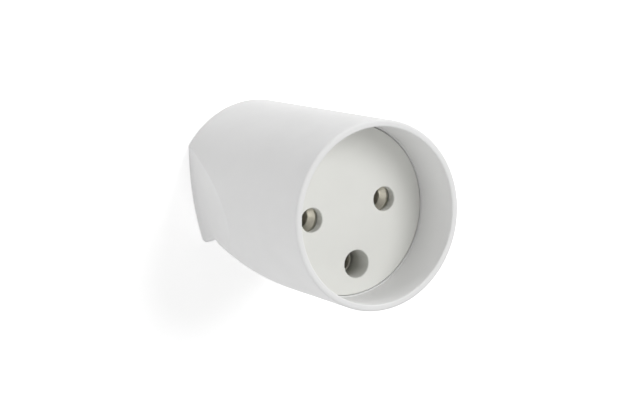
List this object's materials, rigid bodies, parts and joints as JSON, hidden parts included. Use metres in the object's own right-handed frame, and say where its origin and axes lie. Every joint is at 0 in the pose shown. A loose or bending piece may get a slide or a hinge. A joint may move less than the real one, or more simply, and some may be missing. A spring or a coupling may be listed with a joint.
{
  "type": "in-line socket",
  "caption": "Trailing mains socket for a cord's end: round mouth with a deep recess, a face with round pin holes, rounded heel and flat-sided tail with a cord inlet.",
  "frame": {"origin": "on the socket's axis, in the plane of its flat rear end, which it stands on", "axes": "+Z along the axis, out of the mouth; +Y towards the straight top line, opposite the earth hole; +X to the right when looking into the mouth with the earth hole below"},
  "size_m": [0.0416, 0.0416, 0.0516],
  "materials": {
    "housing_plastic": "fine satin moulded white",
    "carrier_plastic": "satin moulded warm white",
    "contact_metal": "dull nickel plating",
    "spring_steel": "bright",
    "screw_steel": "zinc plated"
  },
  "bodies": {
    "root": {"housing": "housing_plastic", "contact_carrier": "carrier_plastic", "contact_retainer": "carrier_plastic", "cord_strap": "carrier_plastic", "live_contact": "contact_metal", "neutral_contact": "contact_metal", "earth_contact": "contact_metal", "live_spring": "spring_steel", "neutral_spring": "spring_steel", "earth_spring": "spring_steel", "live_terminal_screw": "screw_steel", "neutral_terminal_screw": "screw_steel", "earth_terminal_screw": "screw_steel", "retainer_screw": "screw_steel", "left_strap_screw": "screw_steel", "right_strap_screw": "screw_steel", "left_housing_screw": "screw_steel", "right_housing_screw": "screw_steel"}
  },
  "joints": []
}
